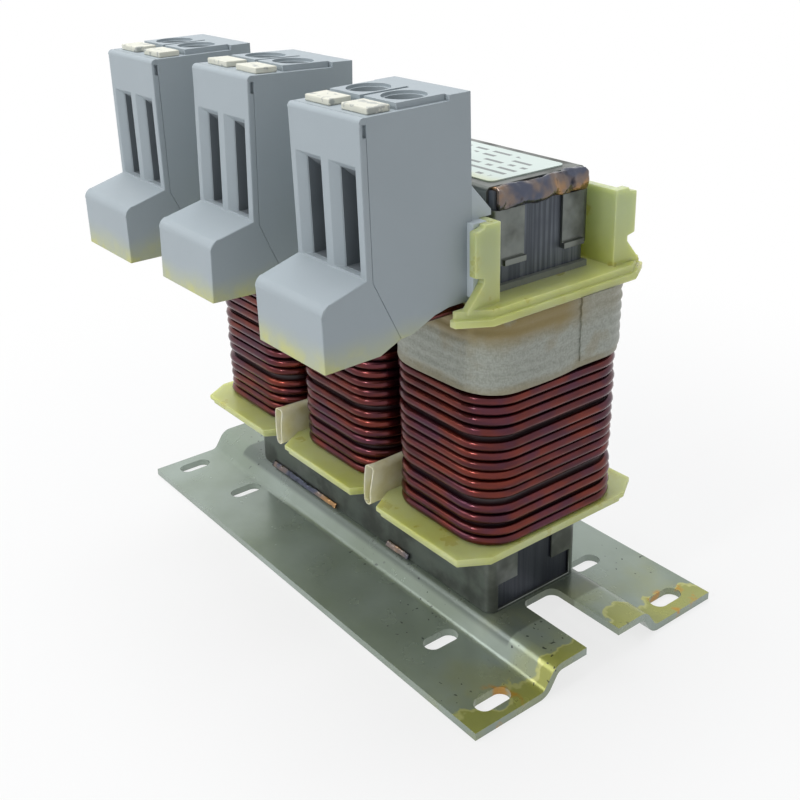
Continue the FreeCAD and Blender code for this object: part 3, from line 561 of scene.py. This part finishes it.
def chamber_plastic():
    """The block's plastic deep in the wire entries, made darker as painted shade."""
    finish = Finish("chamber_plastic", 0.6)
    finish.colour(finish.mixed(finish.cloud(0.01), paint(122, 129, 134), paint(104, 112, 118)))
    finish.bumps(finish.cloud(0.0006, 2.0), 0.00002)
    return finish.material


FINISHES = {
    "bobbin": bobbin_plastic(),
    "zinc": zinc_sheet(),
    "laminations": lamination_edges(),
    "channel": channel_steel(),
    "weld": heated_weld(),
    "wire": wire_enamel(),
    "gap_shade": painted_gap_shade(),
    "tape": cotton_tape(),
    "film": varnished_film(),
    "label": label_foil(),
    "tag": tag_plastic(),
    "gap": gap_board(),
    "clip": block_plastic("clip_plastic", paint(188, 198, 204), stain_level=0.1),
    "chamber": chamber_plastic(),
    "clamp": plated_hardware("clamp_steel", paint(150, 150, 140)),
    "screw": plated_hardware("screw_steel", paint(165, 165, 158)),
}
for number in COILS:
    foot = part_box(f"terminal_front_{number}")[0].z
    FINISHES[f"block_{number}"] = block_plastic(f"block_plastic_{number}", BLOCK_GREY, foot)
print("finishes:", len(FINISHES))

# %% [markdown]
# ## Softening the edges of moulded and folded pieces
#
# A solid model has razor edges, and nothing real has. A copy of each solid is welded together, its flat
# faces are joined up, and its edges get a small bevel that catches the light. The copy then stands for the
# solid. This is quicker and truer than modelling the same shape twice.

# %% Edge softening
SHARP = math.radians(38)
LONG_EDGE = 0.003


def deselect_all():
    for item in bpy.context.selected_objects:
        item.select_set(False)


def make_active(piece):
    deselect_all()
    piece.select_set(True)
    bpy.context.view_layer.objects.active = piece


def give_finish(piece, finish):
    piece.data.materials.clear()
    piece.data.materials.append(FINISHES[finish])


def edit_all():
    """Opens the active piece for editing, with everything selected."""
    bpy.ops.object.mode_set(mode="EDIT")
    bpy.ops.mesh.select_all(action="SELECT")


def close_edit():
    bpy.ops.object.mode_set(mode="OBJECT")


def shape_with(piece, kind, **settings):
    """Adds a modifier to the active piece, with its settings, and applies it."""
    modifier = piece.modifiers.new(kind.lower(), kind)
    for name, value in settings.items():
        setattr(modifier, name, value)
    bpy.ops.object.modifier_apply(modifier=modifier.name)


def welded_copy(node, name):
    """A copy of a solid whose triangles are joined at their corners."""
    piece = bpy.data.objects.new(name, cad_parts[node].data.copy())
    bpy.context.scene.collection.objects.link(piece)
    make_active(piece)
    edit_all()
    bpy.ops.mesh.remove_doubles(threshold=0.000004)
    close_edit()
    return piece


def stand_for(piece, node):
    """Lets a finished piece take the place of a solid."""
    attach(piece, "root")
    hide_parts(node)
    print(piece.name, len(piece.data.polygons), "faces")


def soften_long_edges(piece, width, segments):
    """Bevels only the long sharp edges. Made for a piece whose flat faces have windows in them."""
    bpy.ops.object.mode_set(mode="EDIT")
    bpy.ops.mesh.select_mode(type="EDGE")
    bpy.ops.mesh.select_all(action="DESELECT")
    bpy.ops.mesh.edges_select_sharp(sharpness=SHARP)
    close_edit()
    for edge in piece.data.edges:
        start, end = (piece.data.vertices[i].co for i in edge.vertices)
        edge.select = edge.select and (start - end).length > LONG_EDGE
    chosen = [edge.index for edge in piece.data.edges if edge.select]
    bpy.ops.object.mode_set(mode="EDIT")
    bpy.ops.mesh.select_all(action="DESELECT")
    close_edit()
    for index in chosen:
        piece.data.edges[index].select = True
    bpy.ops.object.mode_set(mode="EDIT")
    bpy.ops.mesh.bevel(offset=width, segments=segments, affect="EDGES", clamp_overlap=False)
    close_edit()


def softened(node, name, width, segments, finish, merge_faces=True):
    """Makes a copy of the node with welded faces and edges bevelled by width metres."""
    piece = welded_copy(node, name)
    if merge_faces:
        edit_all()
        bpy.ops.mesh.dissolve_limited(angle_limit=math.radians(0.5))
        close_edit()
        shape_with(piece, "BEVEL", width=width, segments=segments, limit_method="ANGLE", angle_limit=SHARP,
                   use_clamp_overlap=True)
    else:
        soften_long_edges(piece, width, segments)
    bpy.ops.object.shade_smooth_by_angle(angle=math.radians(32))
    shape_with(piece, "WEIGHTED_NORMAL", keep_sharp=True)
    give_finish(piece, finish)
    stand_for(piece, node)


softened("base_plate", "foot_plate", 0.00025, 2, "zinc")
softened("lower_channel", "lower_trough", 0.00015, 1, "channel")
softened("upper_channel", "upper_trough", 0.00015, 1, "channel")
for number in COILS:
    softened(f"bobbin_{number}", f"moulded_bobbin_{number}", 0.0003, 2, "bobbin")
    softened(f"terminal_front_{number}", f"block_front_{number}", 0.0003, 2, f"block_{number}",
             merge_faces=False)
    softened(f"terminal_rear_{number}", f"block_rear_{number}", 0.0004, 2, f"block_{number}")
    softened(f"block_clip_{number}", f"wall_clip_{number}", 0.0003, 2, "clip")
    for hand in ("left", "right"):
        softened(f"marker_{hand}_{number}", f"tag_{hand}_{number}", 0.0003, 2, "tag")
        softened(f"clamp_{hand}_{number}", f"cage_{hand}_{number}", 0.0002, 1, "clamp")
        softened(f"clamp_screw_{hand}_{number}", f"screw_{hand}_{number}", 0.0002, 1, "screw")

# %% [markdown]
# ## The insides of the wire entries
#
# Deep in the entries the plastic gets painted shade: those faces of the rear housings get a darker finish.
# Each block sits a little crooked in its clip, so its faces are looked up in the block's own directions.
# A seat gives the block's place along Y and Z in metres and its lean in degrees.

# %% Wire entries
SEATS = {1: (-0.0270, 0.1121, 0.1), 2: (-0.0268, 0.1121, -1.9), 3: (-0.0258, 0.1105, 1.0)}
CHAMBER_HALF_WIDTH = 0.01255
CHAMBER_FRONT, CHAMBER_BACK = -0.0308, -0.0074
CHAMBER_FLOOR, CHAMBER_TOP = 0.0136, 0.039
for number, across in COILS.items():
    rear = bpy.data.objects[f"block_rear_{number}"]
    # Painted shade: the faces deep in the wire entries get the darker finish.
    rear.data.materials.append(FINISHES["chamber"])
    depth, level, lean = SEATS[number]
    into_block = Matrix.Rotation(math.radians(-lean), 4, "X") @ Matrix.Translation((-across, -depth, -level))
    count = 0
    for face in rear.data.polygons:
        x, y, z = into_block @ face.center
        if (abs(x) < CHAMBER_HALF_WIDTH and CHAMBER_FRONT < y < CHAMBER_BACK
                and CHAMBER_FLOOR < z < CHAMBER_TOP):
            face.material_index = 1
            count += 1
    print(rear.name, count, "faces inside")

# %% [markdown]
# ## The coils
#
# Each coil is one length of thick wire laid in twenty-one turns round a rounded oblong. One turn is modelled
# as a closed line with rounded corners, which is then given the wire's thickness. The other turns are copies,
# each a little higher, slightly tilted and slightly larger or smaller, because no winder lays them evenly.
# The extra height is spent in a few places, so that dark gaps open between some turns and not others.

# %% One turn of wire
LEAD_LEVEL = 0.1093
COIL_FLOOR, COIL_TOP = 0.038, 0.1057
COIL_HALF_LENGTH, COIL_HALF_DEPTH, COIL_CORNER = 0.0226, 0.028, 0.012
WIRE_RADIUS = 0.00146
TURNS = 21
FLANGE_GAP = 0.00005
HEART_INSET = 0.0022
LEAD_PLACE, LEAD_Y = 0.0105, -0.0263


def rounded_loop(name, half_length, half_depth, corner, level):
    """A closed line of edges: a plane with bevelled corners, which then loses its face."""
    deselect_all()
    bpy.ops.mesh.primitive_plane_add(size=2)
    loop = bpy.context.object
    loop.name = name
    edit_all()
    bpy.ops.transform.resize(value=(half_length, half_depth, 1))
    bpy.ops.transform.translate(value=(0, 0, level))
    bpy.ops.mesh.bevel(offset=corner, segments=10, affect="VERTICES")
    bpy.ops.mesh.delete(type="ONLY_FACE")
    close_edit()
    for edge in loop.data.edges:
        start, end = (loop.data.vertices[i].co for i in edge.vertices)
        edge.select = (start - end).length > corner / 4
    bpy.ops.object.mode_set(mode="EDIT")
    bpy.ops.mesh.select_mode(type="EDGE")
    bpy.ops.mesh.subdivide(number_cuts=5)
    close_edit()
    return loop


def drawn_to_wire(line, radius):
    """Gives a line of edges or a curve the thickness of the wire."""
    make_active(line)
    if line.type == "MESH":
        bpy.ops.object.convert(target="CURVE")
    line.data.bevel_depth = radius
    line.data.bevel_resolution = 3
    line.data.use_fill_caps = True
    bpy.ops.object.convert(target="MESH")
    return line


turn = rounded_loop("turn", COIL_HALF_LENGTH - WIRE_RADIUS, COIL_HALF_DEPTH - WIRE_RADIUS,
                    COIL_CORNER - WIRE_RADIUS, 0)
drawn_to_wire(turn, WIRE_RADIUS)
print("one turn:", len(turn.data.polygons), "faces")

# %% [markdown]
# ## Stacking the turns
#
# The slack between the flanges is shared out by weights: most gaps get almost nothing, and three or four get
# most of it. Each turn is a copy of the first one's mesh.

# %% The coils
def joined(pieces, name):
    make_active(pieces[0])
    for piece in pieces[1:]:
        piece.select_set(True)
    bpy.ops.object.join()
    pieces[0].name = name
    pieces[0].data.name = name
    return pieces[0]


def lead(across, level):
    """The wire's end: up through the flange's notch and forward into the terminal block."""
    curve = bpy.data.curves.new("lead", "CURVE")
    curve.dimensions = "3D"
    spline = curve.splines.new("NURBS")
    route = [(across, LEAD_Y, COIL_TOP - 0.004), (across, LEAD_Y, level - 0.003), (across, LEAD_Y, level),
             (across, -0.0293, level), (across, -0.0438, level)]
    spline.points.add(len(route) - 1)
    for point, place in zip(spline.points, route):
        point.co = (*place, 1)
    spline.order_u = 3
    spline.use_endpoint_u = True
    spline.resolution_u = 8
    wire = bpy.data.objects.new("lead", curve)
    bpy.context.scene.collection.objects.link(wire)
    return drawn_to_wire(wire, WIRE_RADIUS)


def below_surface(x, y):
    """How far a point lies inside the outline of the coil, seen from above."""
    past_x = abs(x) - COIL_HALF_LENGTH + COIL_CORNER
    past_y = abs(y) - COIL_HALF_DEPTH + COIL_CORNER
    if past_x > 0 and past_y > 0:
        return COIL_CORNER - math.hypot(past_x, past_y)
    return min(COIL_HALF_LENGTH - abs(x), COIL_HALF_DEPTH - abs(y))


def coil(number, across, wide_gaps, lead_level):
    """Makes a coil. The wide gaps are given as extra weight above turns, counted from the bottom."""
    chance = random.Random(number)
    slack = COIL_TOP - COIL_FLOOR - 2 * FLANGE_GAP - TURNS * 2 * WIRE_RADIUS
    weights = [wide_gaps.get(i, 0.0) + chance.uniform(0.05, 0.3) for i in range(TURNS - 1)]
    level = COIL_FLOOR + FLANGE_GAP + WIRE_RADIUS
    pieces = []
    for i in range(TURNS):
        copy = bpy.data.objects.new("turn", turn.data.copy())
        bpy.context.scene.collection.objects.link(copy)
        lean = 0.004 if 0 < i < TURNS - 1 else 0.0
        tilt = (Matrix.Rotation(chance.uniform(-lean, lean), 4, "X")
                @ Matrix.Rotation(chance.uniform(-lean, lean), 4, "Y"))
        draw_in = chance.uniform(0.975, 1.0)
        spread = Matrix.Diagonal((draw_in, (1 + draw_in) / 2, 1, 1))
        copy.data.transform(Matrix.Translation((chance.uniform(-1, 1) * 0.0001, 0, level)) @ tilt @ spread)
        pieces.append(copy)
        if i < TURNS - 1:
            level += 2 * WIRE_RADIUS + slack * weights[i] / sum(weights)
    for side in (-1, 1):
        pieces.append(lead(LEAD_PLACE * side, lead_level))
    heart = rounded_loop("heart", COIL_HALF_LENGTH - HEART_INSET, COIL_HALF_DEPTH - HEART_INSET,
                         COIL_CORNER - HEART_INSET, COIL_FLOOR)
    edit_all()
    bpy.ops.mesh.extrude_region_move(TRANSFORM_OT_translate={"value": (0, 0, COIL_TOP - COIL_FLOOR)})
    close_edit()
    pieces.append(heart)
    whole = joined(pieces, f"coil_{number}")
    give_finish(whole, "wire")
    # Painted shade: the filler and the inner halves of the turns get the dark gap finish, so the gaps between
    # turns look shaded.
    whole.data.materials.append(FINISHES["gap_shade"])
    for face in whole.data.polygons:
        x, y, z = face.center
        face.material_index = int(z < COIL_TOP and below_surface(x, y) > 1.45 * WIRE_RADIUS)
    whole.data.transform(Matrix.Translation((across, 0, 0)))
    make_active(whole)
    bpy.ops.object.shade_smooth_by_angle(angle=math.radians(50))
    stand_for(whole, f"winding_{number}")


WIDE_GAPS = {1: {4: 1.6, 9: 1.2, 13: 0.9}, 2: {2: 1.4, 6: 1.2, 12: 1.0}, 3: {1: 1.6, 3: 2.2, 9: 1.8, 13: 0.7}}
LEAD_LEVELS = {1: LEAD_LEVEL, 2: LEAD_LEVEL, 3: LEAD_LEVEL - 0.0016}
for number, across in COILS.items():
    coil(number, across, WIDE_GAPS[number], LEAD_LEVELS[number])
bpy.data.objects.remove(turn)

# %% [markdown]
# ## The tape round the top turns
#
# Woven tape is pulled tight over the top turns, so it follows them: each turn shows through as a soft ridge.
# Its last lap ends on the right-hand face in a cut edge. The band is a loop of edges drawn up in narrow
# steps, moved in and out over the turns, and then given a thin wall. The last lap is a strip of a slightly
# wider band.

# %% The tape
TAPE_FOOT = 0.0849
LAP_FOOT = TAPE_FOOT + 0.0022
TAPE_CLEARANCE, LAP_CLEARANCE = 0.0004, 0.0009
TAPE_WALL = 0.0004
TAPE_STEPS = 28
RIDGE_PITCH = 0.00315
LAP_END_Y = 0.004


def draw_up(height, steps):
    """Draws the active loop of edges up into a tube, in even steps."""
    edit_all()
    for _ in range(steps):
        bpy.ops.mesh.extrude_region_move(TRANSFORM_OT_translate={"value": (0, 0, height / steps)})
    bpy.ops.mesh.select_all(action="SELECT")
    bpy.ops.mesh.normals_make_consistent(inside=False)
    close_edit()


def band(name, clearance, foot):
    """An upright band round the coil, that far off its outline."""
    strip = rounded_loop(name, COIL_HALF_LENGTH + clearance, COIL_HALF_DEPTH + clearance,
                         COIL_CORNER + clearance, foot)
    draw_up(COIL_TOP - 0.0001 - foot, TAPE_STEPS)
    return strip


def follow_turns(strip, foot, seed, hem):
    """Moves the tape in and out over the turns below it and makes its lower hem a little uneven."""
    directions = [v.normal.copy() for v in strip.data.vertices]
    for vertex, outwards in zip(strip.data.vertices, directions):
        x, y, z = vertex.co
        ridge = 0.5 + 0.5 * math.cos(2 * math.pi * (z - COIL_TOP + 0.0015) / RIDGE_PITCH)
        slow = noise.noise(Vector((x * 60, y * 60, z * 90 + seed)))
        crease = noise.noise(Vector((x * 25, y * 25, z * 420 + seed)))
        outwards.z = 0
        vertex.co += outwards * (0.00052 * ridge * (0.7 + slow) + 0.00022 * crease - 0.0005)
        low = max(0.0, 1 - (z - foot) / 0.005)
        vertex.co.z += hem(x, y) * low + 0.0004 * low * noise.noise(Vector((x * 90, y * 90, seed)))


def tape(number, across):
    wrap = band(f"tape_wrap_{number}", TAPE_CLEARANCE, TAPE_FOOT)
    follow_turns(wrap, TAPE_FOOT, number * 3.0, lambda x, y: 0.0004 if x > 0 and y > 0 else 0.0)
    lap = band("lap", LAP_CLEARANCE, LAP_FOOT)
    follow_turns(lap, LAP_FOOT, number * 3.0, lambda x, y: 0.0)
    make_active(lap)
    bpy.ops.object.mode_set(mode="EDIT")
    bpy.ops.mesh.select_mode(type="FACE")
    bpy.ops.mesh.select_all(action="DESELECT")
    close_edit()
    for face in lap.data.polygons:
        face.select = not (face.center.x > 0 and face.center.y > LAP_END_Y)
    bpy.ops.object.mode_set(mode="EDIT")
    bpy.ops.mesh.delete(type="FACE")
    close_edit()
    whole = joined([wrap, lap], f"tape_wrap_{number}")
    shape_with(whole, "SOLIDIFY", thickness=TAPE_WALL, offset=0)
    whole.data.transform(Matrix.Translation((across, 0, 0)))
    bpy.ops.object.shade_smooth_by_angle(angle=math.radians(45))
    give_finish(whole, "tape")
    stand_for(whole, f"tape_{number}")


for number, across in COILS.items():
    tape(number, across)

# %% [markdown]
# ## Film sleeves between the coils
#
# A flattened loop of insulating film stands between each two coils. It is cut by hand, so its ends are
# uneven, and it bulges where nothing holds it: above the flanges it fills the room between the coils.

# %% Film sleeves
SLEEVE_FOOT, SLEEVE_HEIGHT, SLEEVE_HALF_LENGTH = 0.0349, 0.0131, 0.0333
SLEEVE_STEPS = 34
SLEEVE_WALL = 0.00035


def film_sleeve(number, across):
    half_height = SLEEVE_HEIGHT / 2
    sleeve = rounded_loop(f"film_sleeve_{number}", 0.0015, half_height - 0.0002, 0.0014, 0)
    draw_up(2 * SLEEVE_HALF_LENGTH, SLEEVE_STEPS)
    lift = Matrix.Translation((0, SLEEVE_HALF_LENGTH, half_height + SLEEVE_FOOT))
    upright = lift @ Matrix.Rotation(math.radians(90), 4, "X")
    sleeve.data.transform(upright)
    for vertex in sleeve.data.vertices:
        x, y, z = vertex.co
        free = max(0.0, (z - SLEEVE_FOOT - 0.004) / SLEEVE_HEIGHT)
        end = max(0.0, abs(y) / SLEEVE_HALF_LENGTH - 0.9) * 10
        wave = noise.noise(Vector((number * 5, y * 70, z * 90)))
        vertex.co.x += 0.0005 * free * wave + math.copysign(0.0006 * free * (0.3 + end), x)
        vertex.co.y -= math.copysign(end * (0.0006 + 0.0005 * wave + 0.0011 * free), y)
        vertex.co.z -= 0.0004 * free * (1 + noise.noise(Vector((number * 3, y * 45, 0))))
    shape_with(sleeve, "SOLIDIFY", thickness=SLEEVE_WALL, offset=0)
    sleeve.data.transform(Matrix.Translation((across, 0, 0)))
    bpy.ops.object.shade_smooth_by_angle(angle=math.radians(50))
    give_finish(sleeve, "film")
    stand_for(sleeve, f"phase_sleeve_{number}")


film_sleeve(1, -0.025)
film_sleeve(2, 0.025)

# %% [markdown]
# ## Weld beads
#
# A bead laid by hand is lumpy and has no edges. A copy of each solid bead is remeshed to small even faces,
# which rounds it, and its surface is then pushed in and out by two sizes of noise.

# %% Weld beads
def lumpy_weld(node, name, cell, lumps):
    """Makes a copy of the bead in faces of about cell metres, with lumps of about that height."""
    bead = welded_copy(node, name)
    shape_with(bead, "REMESH", mode="VOXEL", voxel_size=cell)
    shape_with(bead, "SMOOTH", iterations=6)
    outwards = [v.normal.copy() for v in bead.data.vertices]
    for vertex, way in zip(bead.data.vertices, outwards):
        broad = noise.noise(vertex.co * 160)
        fine = noise.noise(vertex.co * 520 + Vector((3, 1, 2)))
        vertex.co += way * lumps * (broad + 0.35 * fine)
    bpy.ops.object.shade_smooth()
    give_finish(bead, "weld")
    stand_for(bead, node)


lumpy_weld("end_weld_far", "top_bead_far", 0.0005, 0.0009)
lumpy_weld("end_weld_near", "top_bead_near", 0.0005, 0.0011)
lumpy_weld("base_weld_long", "foot_bead_long", 0.00035, 0.0004)
lumpy_weld("base_weld_short", "foot_bead_short", 0.00035, 0.0004)

# %% [markdown]
# ## Nodes that stay as they are
#
# Flat stacks and sheets need no softening. They keep the solid and only get their finish.

# %% Plain nodes
PLAIN = {"core_legs": "laminations", "core_yoke": "laminations", "name_plate": "label",
         **{f"gap_sheet_{number}": "gap" for number in COILS}}
for node, finish in PLAIN.items():
    give_finish(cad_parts[node], finish)

# %% [markdown]
# ## The floor
#
# A plain pale floor, which keeps the reactor's soft shadow: close to it the floor shows a quarter of its own
# shading, and farther away only white. It is not part of the object.

# %% Floor
def pale_floor():
    finish = Finish("pale_floor", 0.8)
    finish.colour(finish.mixed(finish.cloud(0.5), (0.70, 0.71, 0.72, 1), (0.74, 0.74, 0.74, 1)))
    distance = finish.tree.nodes.new("ShaderNodeVectorMath")
    distance.operation = "LENGTH"
    finish.link(finish.place, distance.inputs[0])
    far = finish.ramp(distance.outputs["Value"], 0.1, 0.3)
    amount = finish.plus(finish.times(far, 0.25), 0.75)
    mixer = finish.tree.nodes.new("ShaderNodeMixShader")
    finish.link(finish.times(amount, share_of_white(finish.tree, 0.0)), mixer.inputs[0])
    finish.link(finish.shader.outputs[0], mixer.inputs[1])
    finish.link(plain_white(finish.tree, "ShaderNodeEmission").outputs[0], mixer.inputs[2])
    finish.link(mixer.outputs[0], finish.tree.nodes["Material Output"].inputs["Surface"])
    bpy.ops.mesh.primitive_plane_add(size=12, location=(0, 0, -0.0002))
    floor = bpy.context.object
    floor.name = "floor"
    floor.data.materials.append(finish.material)


deselect_all()
pale_floor()
